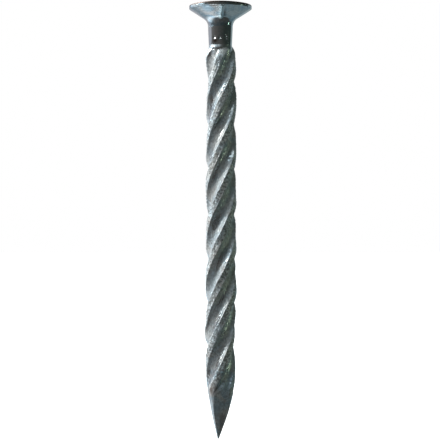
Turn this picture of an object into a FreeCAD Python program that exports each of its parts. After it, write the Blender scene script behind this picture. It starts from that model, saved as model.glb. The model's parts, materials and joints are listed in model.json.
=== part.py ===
"""Rail spike: one drive spike of zinc-plated steel wire, with a flat countersunk head and a spiral shank.

The spike stands on its own axis. +Z points out of the head, and the origin is the centre of the head's
flat top, so every depth below is measured down from the face that the hammer strikes.
From the top down it is a thin round rim, a conical seat that blends into a plain tapered neck with
gripper marks, a right-handed spiral with four ridges and four hollow flutes, and a four-sided point.
The real spike is a single forging. It is divided here where one formed section meets the next, and the
four sections touch face to face.
"""

import FreeCAD
import Part
import Sketcher

import math
import os

# alias: (millimetres, degrees or a plain count; what it is)
DIMENSIONS = {
    "spike_length": (75.0, "head top to the end of the point"),
    "head_radius": (5.4, "outside of the rim"),
    "rim_depth": (0.6, "height of the upright rim"),
    "rim_rounding": (0.22, "radius on both edges of the rim"),
    "seat_depth": (2.7, "where the cone of the seat would meet the neck"),
    "seat_blend": (1.8, "hollow radius between seat and neck"),
    "head_depth": (3.8, "joint face between head and neck"),
    "neck_top_radius": (2.14, "neck at the joint face with the head"),
    "neck_end_radius": (2.0, "neck where the rolled shank begins"),
    "neck_depth": (6.9, "joint face between neck and rolled shank"),
    "mark_floor_radius": (1.92, "axis to the bottom of a gripper mark"),
    "mark_mouth_radius": (2.3, "axis to the mouth of the wedge that cuts a gripper mark"),
    "mark_a_top": (5.15, "upper side of the wedge of the mark on the neck"),
    "mark_a_floor": (5.5, "bottom of the mark on the neck"),
    "mark_a_end": (5.85, "lower side of the wedge of the mark on the neck"),
    "mark_b_top": (6.95, "upper side of the wedge of the mark on the ridge shoulders"),
    "mark_b_floor": (7.4, "bottom of the mark on the ridge shoulders"),
    "mark_b_end": (7.7, "lower side of the wedge of the mark on the ridge shoulders"),
    "ridge_radius": (2.55, "crests of the ridges"),
    "ridge_rounding": (0.3, "radius on each side of a crest"),
    "flute_floor_radius": (1.7, "axis to the floor of a flute"),
    "flute_radius": (1.8, "hollow radius of a flute"),
    "lead": (30.8, "length of one full turn of the spiral"),
    "end_turn": (39.9, "angle of a ridge from +X at the end of the point"),
    "shoulder_depth": (9.4, "where the ridges reach full height"),
    "shoulder_round": (6.0, "radius of the rounded ridge shoulders"),
    "form_radius": (2.75, "blank that the shoulders and the point are cut to"),
    "floor_top_depth": (5.9, "upper end of the rising floors, in spare length above the joint face"),
    "floor_top_radius": (2.4, "axis to the rising floors at that end"),
    "floor_inner_depth": (10.8, "where the rising floors have left the section"),
    "floor_inner_radius": (1.25, "axis to the rising floors where they have left the section"),
    "point_depth": (63.0, "joint face between rolled shank and point"),
    "arris_bulge": (29.0, "radius that the arrises of the point are curved to"),
    "facet_start_radius": (2.6, "axis to a facet where the taper begins"),
    "facet_bulge": (26.8, "radius that the upper part of a facet is curved to"),
    "facet_radius": (1.44, "axis to a facet where it becomes straight"),
    "facet_depth": (70.6, "where a facet becomes straight"),
    "tip_facet_radius": (0.1, "axis to a facet at the blunt end of the point"),
    "tip_arris_radius": (0.15, "axis to an arris at the blunt end of the point"),
    "floor_end_depth": (62.4, "where the floors begin to rise towards the point"),
    "flute_out_depth": (67.4, "where the flutes have run out"),
    "core_radius": (2.5, "outer end of the floors at the point"),
    "trim_half_width": (4.0, "half width of the block that parts shank and point"),
}
RIDGES = 4
FACETS = 4
GRIPPERS = 2
AXIS = FreeCAD.Vector(0, 0, 1)

doc = FreeCAD.newDocument("rail_spike")


def make_sheet():
    """The spreadsheet of driving dimensions, one row each: name, number, meaning."""
    sheet = doc.addObject("Spreadsheet::Sheet", "dims")
    for row, (alias, (number, meaning)) in enumerate(DIMENSIONS.items(), start=1):
        sheet.set(f"A{row}", alias)
        sheet.set(f"B{row}", str(number))
        sheet.setAlias(f"B{row}", alias)
        sheet.set(f"C{row}", meaning)
    doc.recompute()
    return sheet


def size(term):
    """The number behind a term such as "head_radius" or "-rim_depth", for a sketch's first guess."""
    if term == "0":
        return 0.0
    sign = -1.0 if term.startswith("-") else 1.0
    return sign * float(getattr(dims, term.lstrip("-")))


def bound(term):
    """The expression that binds a property to a term."""
    return f"-dims.{term[1:]}" if term.startswith("-") else f"dims.{term}"


def base_plane(body, role):
    """One of the body's own origin planes."""
    return next(feature for feature in body.Origin.OriginFeatures if feature.Role == role)


def new_sketch(body, name, role):
    """A sketch on one of the body's origin planes."""
    sketch = body.newObject("Sketcher::SketchObject", name)
    sketch.AttachmentSupport = (base_plane(body, role), "")
    sketch.MapMode = "FlatFace"
    return sketch


def bind(sketch, kind, *terms_and_places):
    """Adds a dimension whose last argument is a term, and binds it to the sheet."""
    *places, term = terms_and_places
    index = sketch.addConstraint(Sketcher.Constraint(kind, *places, size(term)))
    sketch.setExpression(f"Constraints[{index}]", bound(term))


def place_point(sketch, geometry, end, x_term, y_term):
    """Fixes one end of an edge at a pair of terms, measured from the sketch's origin."""
    for kind, term, axis in (("DistanceX", x_term, -2), ("DistanceY", y_term, -1)):
        if term == "0":
            sketch.addConstraint(Sketcher.Constraint("PointOnObject", geometry, end, axis))
        else:
            bind(sketch, kind, -1, 1, geometry, end, term)


def bulged_arc(start, end, radius):
    """An arc from start to end that bulges to the right of the way from start to end."""
    chord = end - start
    across = FreeCAD.Vector(chord.y, -chord.x, 0).normalize()
    rise = radius - math.sqrt(radius**2 - (chord.Length / 2) ** 2)
    return Part.Arc(start, (start + end) * 0.5 + across * rise, end)


def outline(sketch, corners, arcs=None):
    """A closed outline through corners, each a pair of terms. arcs gives a segment's radius term by its
    number, and "out" where it bulges to the left of the way that the outline runs, or "in" if not."""
    arcs = arcs or {}
    points = [FreeCAD.Vector(size(x), size(y), 0) for x, y in corners]
    for number, start in enumerate(points):
        end = points[(number + 1) % len(points)]
        if number in arcs:
            term, side = arcs[number]
            if side == "out":
                sketch.addGeometry(bulged_arc(end, start, size(term)))
            else:
                sketch.addGeometry(bulged_arc(start, end, size(term)))
            # An arc always runs anticlockwise, so its first end is the one that comes first that way.
            first = 2 if (sketch.Geometry[number].StartPoint - start).Length > 1e-6 else 1
        else:
            sketch.addGeometry(Part.LineSegment(start, end))
            first = 1
        place_point(sketch, number, first, *corners[number])
    for number in range(len(points)):
        following = (number + 1) % len(points)
        meeting = points[following]
        ends = []
        for geometry in (number, following):
            begin = sketch.Geometry[geometry].StartPoint
            ends.append(1 if (begin - meeting).Length < 1e-6 else 2)
        sketch.addConstraint(Sketcher.Constraint("Coincident", number, ends[0], following, ends[1]))
    for number, (term, _side) in arcs.items():
        bind(sketch, "Radius", number, term)
    doc.recompute()
    return sketch


def revolve(body, name, corners, arcs=None):
    """Turns a half section, drawn in X and Z, once round the axis and adds it to the body."""
    sketch = outline(new_sketch(body, f"{name}_outline", "XZ_Plane"), corners, arcs)
    feature = body.newObject("PartDesign::Revolution", name)
    feature.Profile = sketch
    feature.ReferenceAxis = (sketch, ["V_Axis"])
    feature.Angle = 360
    doc.recompute()
    return feature


def ring_edges(feature, radius, height):
    """Names of the round edges of that radius about the axis at that height."""
    names = []
    for number, edge in enumerate(feature.Shape.Edges, start=1):
        curve = edge.Curve
        if (
            isinstance(curve, Part.Circle)
            and abs(curve.Radius - radius) < 1e-4
            and abs(curve.Center.z - height) < 1e-4
        ):
            names.append(f"Edge{number}")
    return names


def fillet_rings(body, name, rings, radius_term):
    """Rounds the round edges at these pairs of radius and height terms."""
    base = body.Tip
    names = [n for radius, height in rings for n in ring_edges(base, size(radius), size(height))]
    fillet = body.newObject("PartDesign::Fillet", name)
    fillet.Base = (base, names)
    fillet.Radius = size(radius_term)
    fillet.setExpression("Radius", bound(radius_term))
    doc.recompute()
    return fillet


def cut_through(body, name, sketch):
    """Cuts a sketch straight through the body, both ways from its plane."""
    before = body.Shape.Volume
    pocket = body.newObject("PartDesign::Pocket", name)
    pocket.Profile = sketch
    pocket.Type = "ThroughAll"
    pocket.Midplane = True
    doc.recompute()
    if not pocket.Shape.Volume < before:
        raise RuntimeError(f"{name} cut nothing")
    return pocket


def repeat_round(body, name, feature, count):
    """Repeats a cut evenly round the axis."""
    before = body.Shape.Volume
    pattern = body.newObject("PartDesign::PolarPattern", name)
    pattern.Originals = [feature]
    pattern.Axis = (base_plane(body, "Z_Axis"), [""])
    pattern.Angle = 360
    pattern.Occurrences = count
    body.Tip = pattern
    doc.recompute()
    if not pattern.Shape.Volume < before:
        raise RuntimeError(f"{name} repeated nothing")
    return pattern


def make_head():
    """Flat top, rounded upright rim, conical seat, and the hollow blend down to the neck."""
    body = doc.addObject("PartDesign::Body", "head")
    revolve(
        body,
        "head_blank",
        [
            ("0", "0"),
            ("head_radius", "0"),
            ("head_radius", "-rim_depth"),
            ("neck_top_radius", "-seat_depth"),
            ("neck_top_radius", "-head_depth"),
            ("0", "-head_depth"),
        ],
    )
    rim = [("head_radius", "0"), ("head_radius", "-rim_depth")]
    fillet_rings(body, "rim_edges", rim, "rim_rounding")
    fillet_rings(body, "seat_to_neck", [("neck_top_radius", "-seat_depth")], "seat_blend")
    return body


def cut_gripper_marks(body, mark):
    """Cuts the notch that a tooth of the gripper left, on the two opposite sides that it held."""
    tooth = outline(
        new_sketch(body, f"{mark}_tooth", "YZ_Plane"),
        [
            ("mark_mouth_radius", f"-{mark}_top"),
            ("mark_floor_radius", f"-{mark}_floor"),
            ("mark_mouth_radius", f"-{mark}_end"),
        ],
    )
    notch = cut_through(body, f"{mark}_notch", tooth)
    repeat_round(body, f"{mark}_both_sides", notch, GRIPPERS)


def make_neck():
    """Plain neck with a slight taper, bitten by the gripper's teeth on two opposite sides."""
    body = doc.addObject("PartDesign::Body", "neck")
    revolve(
        body,
        "neck_blank",
        [
            ("0", "-head_depth"),
            ("neck_top_radius", "-head_depth"),
            ("neck_end_radius", "-neck_depth"),
            ("0", "-neck_depth"),
        ],
    )
    cut_gripper_marks(body, "mark_a")
    return body


def section_arcs():
    """The rolled section as arcs: (kind, centre, radius, first angle, last angle), anticlockwise.

    A crest is an arc about the axis. A flute is a hollow arc whose centre lies out on the line midway
    between two ridges. A small arc rounds each side of a crest, and touches both.
    """
    ridge = size("ridge_radius")
    rounding = size("ridge_rounding")
    flute = size("flute_radius")
    out_to_flute = size("flute_floor_radius") + flute
    out_to_rounding = ridge - rounding
    # The triangle of axis, flute centre and rounding centre has three known sides.
    spread = math.acos(
        (out_to_rounding**2 + out_to_flute**2 - (flute + rounding) ** 2)
        / (2 * out_to_rounding * out_to_flute)
    )
    step = 2 * math.pi / RIDGES
    arcs = []
    for number in range(RIDGES):
        middle = (number + 0.5) * step
        centre = FreeCAD.Vector(math.cos(middle), math.sin(middle), 0) * out_to_flute
        before, after = (
            FreeCAD.Vector(math.cos(a), math.sin(a), 0) * out_to_rounding
            for a in (middle - spread, middle + spread)
        )
        to_before = math.atan2(*reversed((before - centre)[:2]))
        to_after = math.atan2(*reversed((after - centre)[:2]))
        arcs.append(("rounding", before, rounding, middle - spread, to_before + math.pi))
        arcs.append(("flute", centre, flute, to_after, to_before))
        arcs.append(("rounding", after, rounding, to_after + math.pi, middle + spread))
        arcs.append(("crest", FreeCAD.Vector(), ridge, middle + spread, middle + step - spread))
    return arcs


def draw_section(sketch):
    """Draws the rolled section and ties its arcs to the sheet."""
    full_turn = 2 * math.pi
    arcs = section_arcs()
    for _kind, centre, radius, first, last in arcs:
        circle = Part.Circle(centre, AXIS, radius)
        sketch.addGeometry(Part.ArcOfCircle(circle, first, first + (last - first) % full_turn))
    for number, (kind, centre, _radius, _first, _last) in enumerate(arcs):
        # The outline runs anticlockwise, and a flute, being hollow, is met at its far end first.
        following = (number + 1) % len(arcs)
        leave = 1 if kind == "flute" else 2
        arrive = 2 if arcs[following][0] == "flute" else 1
        sketch.addConstraint(Sketcher.Constraint("Tangent", number, leave, following, arrive))
        if kind == "crest":
            sketch.addConstraint(Sketcher.Constraint("Coincident", number, 3, -1, 1))
            bind(sketch, "Radius", number, "ridge_radius")
        elif kind == "rounding":
            bind(sketch, "Radius", number, "ridge_rounding")
        else:
            bind(sketch, "Radius", number, "flute_radius")
            for axis_kind, part in (("DistanceX", centre.x), ("DistanceY", centre.y)):
                index = sketch.addConstraint(Sketcher.Constraint(axis_kind, -1, 1, number, 3, part))
                share = part / centre.Length
                sketch.setExpression(
                    f"Constraints[{index}]",
                    f"(dims.flute_floor_radius + dims.flute_radius) * {share}",
                )


def make_rolled_bar():
    """The twisted bar, with the floors of its flutes rising to the surface at both ends."""
    body = doc.addObject("PartDesign::Body", "rolled_bar")
    section = new_sketch(body, "rolled_section", "XY_Plane")
    section.setExpression("AttachmentOffset.Base.z", "-dims.spike_length")
    section.setExpression("AttachmentOffset.Rotation.Angle", "dims.end_turn")
    draw_section(section)

    spine = new_sketch(body, "bar_axis", "XZ_Plane")
    low, high = FreeCAD.Vector(0, -size("spike_length"), 0), FreeCAD.Vector(0, -size("neck_depth"), 0)
    spine.addGeometry(Part.LineSegment(low, high))
    place_point(spine, 0, 1, "0", "-spike_length")
    place_point(spine, 0, 2, "0", "-neck_depth")

    helix = doc.addObject("Part::Helix", "spiral_guide")
    helix.LocalCoord = "Right-handed"
    helix.setExpression("Pitch", "dims.lead")
    helix.setExpression("Height", "dims.spike_length - dims.neck_depth")
    helix.setExpression("Radius", "dims.head_radius")
    helix.setExpression("Placement.Base.z", "-dims.spike_length")
    doc.recompute()
    guide = body.newObject("PartDesign::SubShapeBinder", "spiral_guide_in_bar")
    guide.Support = [(helix, ("",))]
    doc.recompute()

    twist = body.newObject("PartDesign::AdditivePipe", "twisted_section")
    twist.Profile = section
    twist.Spine = (spine, ["Edge1"])
    twist.Mode = "Auxiliary"
    twist.AuxiliarySpine = (guide, ["Edge1"])
    twist.AuxiliaryCurvilinear = False
    doc.recompute()

    revolve(
        body,
        "floors_at_neck",
        [
            ("0", "-floor_top_depth"),
            ("floor_top_radius", "-floor_top_depth"),
            ("floor_inner_radius", "-floor_inner_depth"),
            ("0", "-floor_inner_depth"),
        ],
    )
    revolve(
        body,
        "floors_at_point",
        [
            ("0", "-floor_end_depth"),
            ("floor_inner_radius", "-floor_end_depth"),
            ("core_radius", "-flute_out_depth"),
            ("core_radius", "-spike_length"),
            ("0", "-spike_length"),
        ],
    )
    return body


def make_outer_form():
    """The outer shape that the rolled bar is held to: ridge shoulders with the gripper's lower marks, and
    a four-sided point."""
    body = doc.addObject("PartDesign::Body", "outer_form")
    revolve(
        body,
        "round_form",
        [
            ("0", "-neck_depth"),
            ("neck_end_radius", "-neck_depth"),
            ("form_radius", "-shoulder_depth"),
            ("form_radius", "-point_depth"),
            ("tip_arris_radius", "-spike_length"),
            ("0", "-spike_length"),
        ],
        arcs={1: ("shoulder_round", "out"), 3: ("arris_bulge", "out")},
    )
    waste = outline(
        new_sketch(body, "facet_waste", "XZ_Plane"),
        [
            ("trim_half_width", "-point_depth"),
            ("facet_start_radius", "-point_depth"),
            ("facet_radius", "-facet_depth"),
            ("tip_facet_radius", "-spike_length"),
            ("trim_half_width", "-spike_length"),
        ],
        arcs={1: ("facet_bulge", "out")},
    )
    facet = cut_through(body, "facet", waste)
    repeat_round(body, "facets", facet, FACETS)
    cut_gripper_marks(body, "mark_b")
    return body


def part_shank_and_point(bar, form):
    """Holds the bar to the outer form, then parts it at the joint face between shank and point."""
    formed = doc.addObject("Part::Common", "formed_bar")
    formed.Base = bar
    formed.Tool = form
    block = doc.addObject("Part::Box", "shank_block")
    block.setExpression("Length", "dims.trim_half_width * 2")
    block.setExpression("Width", "dims.trim_half_width * 2")
    block.setExpression("Height", "dims.point_depth - dims.neck_depth + 1")
    block.setExpression("Placement.Base.x", "-dims.trim_half_width")
    block.setExpression("Placement.Base.y", "-dims.trim_half_width")
    block.setExpression("Placement.Base.z", "-dims.point_depth")
    shank = doc.addObject("Part::Common", "spiral_shank")
    shank.Base = formed
    shank.Tool = block
    point = doc.addObject("Part::Cut", "point")
    point.Base = formed
    point.Tool = block
    doc.recompute()
    return shank, point


def check_and_export(nodes):
    """Stops if anything in the document failed, then writes one STEP file for each section."""
    for item in doc.Objects:
        if {"Invalid", "Error"} & set(item.State):
            raise RuntimeError(f"{item.Label} failed: {item.State}")
    for node in nodes:
        shape = node.Shape
        if shape.isNull() or not shape.isValid() or len(shape.Solids) != 1:
            raise RuntimeError(f"{node.Label} isn't one valid solid")
    os.makedirs("parts", exist_ok=True)
    for node in nodes:
        node.Shape.exportStep(f"parts/{node.Label}.step")
        print(f"{node.Label}: {node.Shape.Volume:.2f} mm3, {len(node.Shape.Faces)} faces")


dims = make_sheet()
head = make_head()
neck = make_neck()
rolled_bar = make_rolled_bar()
outer_form = make_outer_form()
spiral_shank, point = part_shank_and_point(rolled_bar, outer_form)
check_and_export([head, neck, spiral_shank, point])
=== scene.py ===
"""Rail spike: the finished looks of a zinc-plated drive spike with a spiral shank.

Every piece of the spike is one closed surface round the spike's axis: a radius worked out for each pair of
angle and depth. Depth is measured down from the flat top of the head, angle from +X towards +Y.
"""

import json
import math

import bpy
import numpy as np
from bpy.props import FloatProperty, FloatVectorProperty, PointerProperty
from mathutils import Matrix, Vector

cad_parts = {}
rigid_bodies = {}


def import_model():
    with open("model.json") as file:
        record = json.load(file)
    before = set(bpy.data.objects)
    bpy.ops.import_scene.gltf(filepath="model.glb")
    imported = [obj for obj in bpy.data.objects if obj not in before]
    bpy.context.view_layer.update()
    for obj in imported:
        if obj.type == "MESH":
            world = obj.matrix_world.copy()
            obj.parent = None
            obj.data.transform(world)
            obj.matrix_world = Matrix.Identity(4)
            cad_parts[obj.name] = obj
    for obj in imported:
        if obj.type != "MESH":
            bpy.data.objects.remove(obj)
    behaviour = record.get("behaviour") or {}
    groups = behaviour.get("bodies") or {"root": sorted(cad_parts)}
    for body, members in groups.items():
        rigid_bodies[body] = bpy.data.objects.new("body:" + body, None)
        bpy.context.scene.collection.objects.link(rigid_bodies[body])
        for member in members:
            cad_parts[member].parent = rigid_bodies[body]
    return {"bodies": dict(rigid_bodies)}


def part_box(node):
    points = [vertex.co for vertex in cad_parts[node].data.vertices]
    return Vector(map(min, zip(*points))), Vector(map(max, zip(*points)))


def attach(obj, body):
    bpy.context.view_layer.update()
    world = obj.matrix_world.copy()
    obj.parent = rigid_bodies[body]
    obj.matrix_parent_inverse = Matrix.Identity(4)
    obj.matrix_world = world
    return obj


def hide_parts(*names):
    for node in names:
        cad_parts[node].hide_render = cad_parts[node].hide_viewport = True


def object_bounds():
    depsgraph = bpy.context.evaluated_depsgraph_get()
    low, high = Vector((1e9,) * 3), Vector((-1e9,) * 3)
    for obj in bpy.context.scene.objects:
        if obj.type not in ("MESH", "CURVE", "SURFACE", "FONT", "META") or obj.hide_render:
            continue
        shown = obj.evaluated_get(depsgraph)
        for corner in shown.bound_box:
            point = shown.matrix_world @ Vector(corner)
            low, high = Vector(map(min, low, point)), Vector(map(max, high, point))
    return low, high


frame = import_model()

bl_info = {
    "name": "Rail Spike",
    "version": (1, 0, 0),
    "blender": (4, 5, 0),
    "location": "3D View > Sidebar > Rail Spike",
    "description": "Builds a zinc-plated drive spike with a spiral shank, and its stage",
    "category": "Add Mesh",
}

MM = 0.001
CAD_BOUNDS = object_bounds()
HEAD_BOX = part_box("head")
NECK_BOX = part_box("neck")
SHANK_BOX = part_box("spiral_shank")
POINT_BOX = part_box("point")

BODY = next(iter(frame["bodies"]))

# Vertices round the spike. Neighbouring pieces share this count, so their joint rings match.
AROUND = 224
RIDGES = 4

# Where the gripper's halves met: just right of the middle of the front.
PARTING = math.radians(-85)


# ---------------------------------------------------------------- settings


def length_setting(name, description, default):
    """A length in the panel."""
    return FloatProperty(name=name, description=description, default=default, unit="LENGTH")


def angle_setting(name, description, default):
    """An angle in the panel, given in radians."""
    return FloatProperty(name=name, description=description, default=default, subtype="ANGLE")


def power_setting(name, description, default):
    """A light's power in the panel."""
    return FloatProperty(name=name, description=description, default=default, min=0, unit="POWER")


def colour_setting(name, description, default):
    """A colour in the panel."""
    return FloatVectorProperty(
        name=name, description=description, default=default, subtype="COLOR", min=0, max=1
    )


class SpikeHeadSettings(bpy.types.PropertyGroup):
    """Sizes of the head and of its seat"""

    rim_radius: length_setting("Rim radius", "Outside of the upright rim", float(HEAD_BOX[1][0]))
    rim_depth: length_setting("Rim depth", "Height of the upright rim", 0.6 * MM)
    rim_rounding: length_setting("Rim rounding", "Radius on both edges of the rim", 0.2 * MM)
    seat_depth: length_setting("Seat depth", "Where the cone of the seat would meet the neck", 2.7 * MM)
    seat_blend: length_setting("Seat blend", "Hollow radius between the seat and the neck", 1.8 * MM)
    unevenness: length_setting("Unevenness", "How far the forged rim strays from a true circle", 0.035 * MM)


class SpikeNeckSettings(bpy.types.PropertyGroup):
    """Sizes of the plain neck and of the gripper marks on it"""

    top_radius: length_setting("Top radius", "Neck where it meets the head", 2.14 * MM)
    end_radius: length_setting("End radius", "Neck where the rolled shank begins", 2.0 * MM)
    mark_bite: length_setting("Mark bite", "How deep the gripper's teeth press into the neck", 0.07 * MM)


class SpikeShankSettings(bpy.types.PropertyGroup):
    """Sizes of the rolled ridges and flutes"""

    ridge_radius: length_setting("Ridge radius", "Crests of the ridges", 2.55 * MM)
    flute_floor: length_setting("Flute floor", "Axis to the floor of a flute", 1.7 * MM)
    flute_radius: length_setting("Flute radius", "Hollow radius of a flute", 1.8 * MM)
    lead: length_setting("Lead", "Length of one full turn of the spiral", 30.8 * MM)
    end_turn: angle_setting("End turn", "Angle of a ridge at the end of the point", math.radians(39.9))
    burr: length_setting(
        "Burr", "Height of the beads that rolling leaves along the edges of the crests", 0.07 * MM
    )
    bow: length_setting("Bow", "How far the shank stands off the true axis, towards +X", 0.19 * MM)
    unevenness: length_setting(
        "Unevenness", "How far the rolled surface strays from its true shape", 0.05 * MM
    )


class SpikePointSettings(bpy.types.PropertyGroup):
    """Sizes of the pinched point"""

    facet_start: length_setting("Facet start", "Axis to a flat where the taper begins", 2.6 * MM)
    facet_middle: length_setting("Facet middle", "Axis to a flat where it becomes straight", 1.44 * MM)
    facet_middle_depth: length_setting(
        "Facet middle depth", "Depth at which a flat becomes straight", 70.6 * MM
    )
    tip_radius: length_setting("Tip radius", "Blunt end of the point", 0.1 * MM)
    tip_shift: length_setting(
        "Tip shift", "How far the pinched tip stands off the axis, towards -X", 0.36 * MM
    )
    facet_turn: angle_setting(
        "Facet turn", "How far the flats are turned about the axis, anticlockwise from above", math.radians(9)
    )


class SpikeFinishSettings(bpy.types.PropertyGroup):
    """Colours of the zinc plate, with a painted highlight and painted shade"""

    zinc: colour_setting("Zinc", "Clean plate", (0.66, 0.68, 0.69))
    blue: colour_setting("Blue", "Passivated plate where the film is thick", (0.42, 0.56, 0.66))
    warm: colour_setting("Warm", "Plate that has dulled, with a yellowish film", (0.50, 0.46, 0.42))
    # A painted highlight: this bright cyan is painted in a band along the seat's parting fin.
    painted_highlight: colour_setting("Painted highlight", "Plate that the tools rubbed bright", (0.62, 0.80, 0.86))
    # Dark colour of the stains by the tooth marks and where the flutes run out; round the rim's top edge it
    # is painted shade.
    stain_and_shade_colour: colour_setting(
        "Stain and shade", "Brown stain on the rim, by the tooth marks and where the flutes run out", (0.14, 0.09, 0.07)
    )
    pit: colour_setting("Pit", "Dirt and oxide in the pits", (0.12, 0.12, 0.12))


class SpikeStageSettings(bpy.types.PropertyGroup):
    """Floor, light and camera"""

    floor_colour: colour_setting("Floor", "Colour of the floor", (0.92, 0.92, 0.92))
    camera_distance: length_setting("Camera distance", "From the axis to the camera", 215 * MM)
    view_height: length_setting("View height", "Height that the picture takes in at the axis", 76.27 * MM)
    key_power: power_setting("Key light", "Power of the soft light on the left", 0.8)
    left_power: power_setting("Left light", "Power of the wide cool light behind the left side", 1.7)
    top_power: power_setting("Top light", "Power of the light above the front", 0.12)
    side_power: power_setting("Side light", "Power of the narrow light on the right", 0.09)


SETTINGS = {
    "spike_head": SpikeHeadSettings,
    "spike_neck": SpikeNeckSettings,
    "spike_shank": SpikeShankSettings,
    "spike_point": SpikePointSettings,
    "spike_finish": SpikeFinishSettings,
    "spike_stage": SpikeStageSettings,
}


# ---------------------------------------------------------------- shape arithmetic


def ease(value, low, high):
    """0 below low, 1 above high, and between them 3t^2 - 2t^3 for the share t of the way."""
    share = np.clip((value - low) / (high - low), 0, 1)
    return share * share * (3 - 2 * share)


def bell(value, width):
    """1 at zero, falling off on both sides as exp(-(value / width)^2)."""
    return np.exp(-((value / width) ** 2))


def soft_least(one, other, width):
    """The lesser of two values, rounded over where they come within width of each other."""
    share = np.clip(0.5 + 0.5 * (other - one) / width, 0, 1)
    return other + (one - other) * share - width * share * (1 - share)


def soft_most(one, other, width):
    """The greater of two values, filled out where they come within width of each other."""
    return -soft_least(-one, -other, width)


def swell(angle, depth, seed, turns, length, count=18):
    """Smooth unevenness round the axis: a sum of cosines of whole numbers of turns and of random lengths.

    Each cosine is cos(n * angle + depth / l + p), with n up to turns and l down to length. The sum is
    scaled to a spread of about 1 either way.
    """
    rng = np.random.default_rng(seed)
    order = rng.integers(0, turns + 1, count)
    pace = rng.uniform(-1, 1, count) / length
    start = rng.uniform(0, 2 * np.pi, count)
    waves = np.cos(order * angle[..., None] + pace * depth[..., None] + start)
    return waves.sum(-1) / math.sqrt(count)


def turn_between(one, other):
    """The signed angle from other to one, from minus half a turn to half a turn."""
    return (one - other + np.pi) % (2 * np.pi) - np.pi


# Radius by which angles round the neck become lengths.
NECK_RADIUS = 2.05 * MM

# Bowls that the gripper's teeth left:
# angle from -Y towards +X in degrees, depth and width in millimetres, bite as a share of the full bite.
TOOTH_BOWLS = np.array(
    [
        (-31, 5.70, 0.25, 1.2),
        (-4, 5.80, 0.17, 1.9),
        (29, 5.46, 0.15, 2.3),
        (31, 5.94, 0.15, 2.3),
        (-37, 7.60, 0.14, 0.6),
        (26, 7.62, 0.13, 0.7),
        (150, 5.60, 0.22, 1.0),
        (178, 5.85, 0.17, 0.9),
        (205, 5.45, 0.15, 0.8),
        (209, 5.95, 0.15, 0.8),
        (155, 7.50, 0.16, 0.8),
        (202, 7.60, 0.15, 0.9),
    ]
)


def tooth_marks(angle, depth):
    """Bowls in the surface: the sum of a bell in angle times a bell in depth for each bowl, from 0 to 1."""
    across = turn_between(angle[..., None], np.radians(TOOTH_BOWLS[:, 0] - 90)) * NECK_RADIUS
    along = depth[..., None] - TOOTH_BOWLS[:, 1] * MM
    width = TOOTH_BOWLS[:, 2] * MM
    return (TOOTH_BOWLS[:, 3] * bell(np.hypot(across, along), width)).sum(-1)


# Depths of the notch and of the crease that the gripper left.
NOTCH_DEPTH = 6.85 * MM
CREASE_DEPTH = 7.72 * MM


def gripper_notch(angle, depth):
    """A notch across the front and the back at the end of the neck, and a crease under it: bells in depth,
    the notch's steeper below, times a bell in angle about each side."""
    front = bell(turn_between(angle, np.radians(-108)), 0.42)
    back = bell(turn_between(angle, np.radians(88)), 0.45)
    step = depth - NOTCH_DEPTH
    notch = np.where(step < 0, bell(step, 0.6 * MM), bell(step, 0.34 * MM))
    crease = 0.55 * bell(depth - CREASE_DEPTH, 0.11 * MM)
    return (front + back) * (notch + crease)


def gripper_stain(angle, depth):
    """Brown stains under the row of tooth marks and along the crease: bells in angle and depth."""
    under_teeth = bell(turn_between(angle, np.radians(-118)), 0.24) * bell(depth - 6.3 * MM, 0.3 * MM)
    crease = bell(turn_between(angle, np.radians(-106)), 0.42) * bell(depth - 7.75 * MM, 0.14 * MM)
    back = bell(turn_between(angle, np.radians(70)), 0.3) * bell(depth - 6.4 * MM, 0.3 * MM)
    return np.clip(under_teeth + 0.8 * crease + back, 0, 1)


def point_stain(angle, depth):
    """Brown stains where the flutes run out into the flats: bells in angle and depth, broken up by a
    swell."""
    pocket = bell(turn_between(angle, np.radians(-125)), 0.3) * bell(depth - 66.2 * MM, 0.9 * MM)
    side = 0.55 * bell(turn_between(angle, np.radians(-165)), 0.5) * bell(depth - 67 * MM, 3.6 * MM)
    back = bell(turn_between(angle, np.radians(60)), 0.3) * bell(depth - 66.0 * MM, 0.9 * MM)
    broken = np.clip(0.8 + 0.5 * swell(angle, depth, 61, 12, 0.25 * MM), 0, 1)
    return 0.75 * np.clip(pocket + side + back, 0, 1) * broken


# Low swells and hollows along the sides of the rolled shank, where it left the rollers out of true:
# angle from +X in degrees, then depth, length and height in millimetres.
SIDE_SWELLS = np.array(
    [
        (0, 30.9, 1.6, -0.14),
        (0, 35.6, 2.0, 0.26),
        (0, 43.4, 1.6, 0.26),
        (0, 46.2, 1.0, -0.12),
        (0, 50.9, 2.2, 0.30),
        (0, 55.2, 1.4, -0.16),
        (180, 14.3, 0.9, -0.30),
        (180, 19.8, 1.0, 0.20),
        (180, 26.7, 1.0, 0.24),
        (180, 30.4, 2.4, 0.16),
        (180, 36.6, 1.8, 0.18),
        (180, 42.9, 1.8, 0.20),
        (180, 47.0, 2.0, 0.16),
        (180, 50.4, 1.2, 0.40),
        (180, 57.3, 1.4, 0.50),
        (90, 22.0, 2.6, 0.14),
        (90, 38.5, 2.2, -0.12),
        (90, 52.0, 2.0, 0.20),
    ]
)


def side_swells(angle, depth):
    """Height of the side swells: a bell in angle times a bell in depth for each of them."""
    across = bell(turn_between(angle[..., None], np.radians(SIDE_SWELLS[:, 0])), 0.5)
    along = bell(depth[..., None] - SIDE_SWELLS[:, 1] * MM, SIDE_SWELLS[:, 2] * MM)
    return (SIDE_SWELLS[:, 3] * MM * across * along).sum(-1)


# Steps of the bow: share of the full bow that is added, and the depths in millimetres over which it is.
BOW_STEPS = [(1.0, 8.4, 12), (-0.3, 27, 34), (-0.6, 49, 57), (0.3, 58, 63), (-0.4, 63, 68)]


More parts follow.
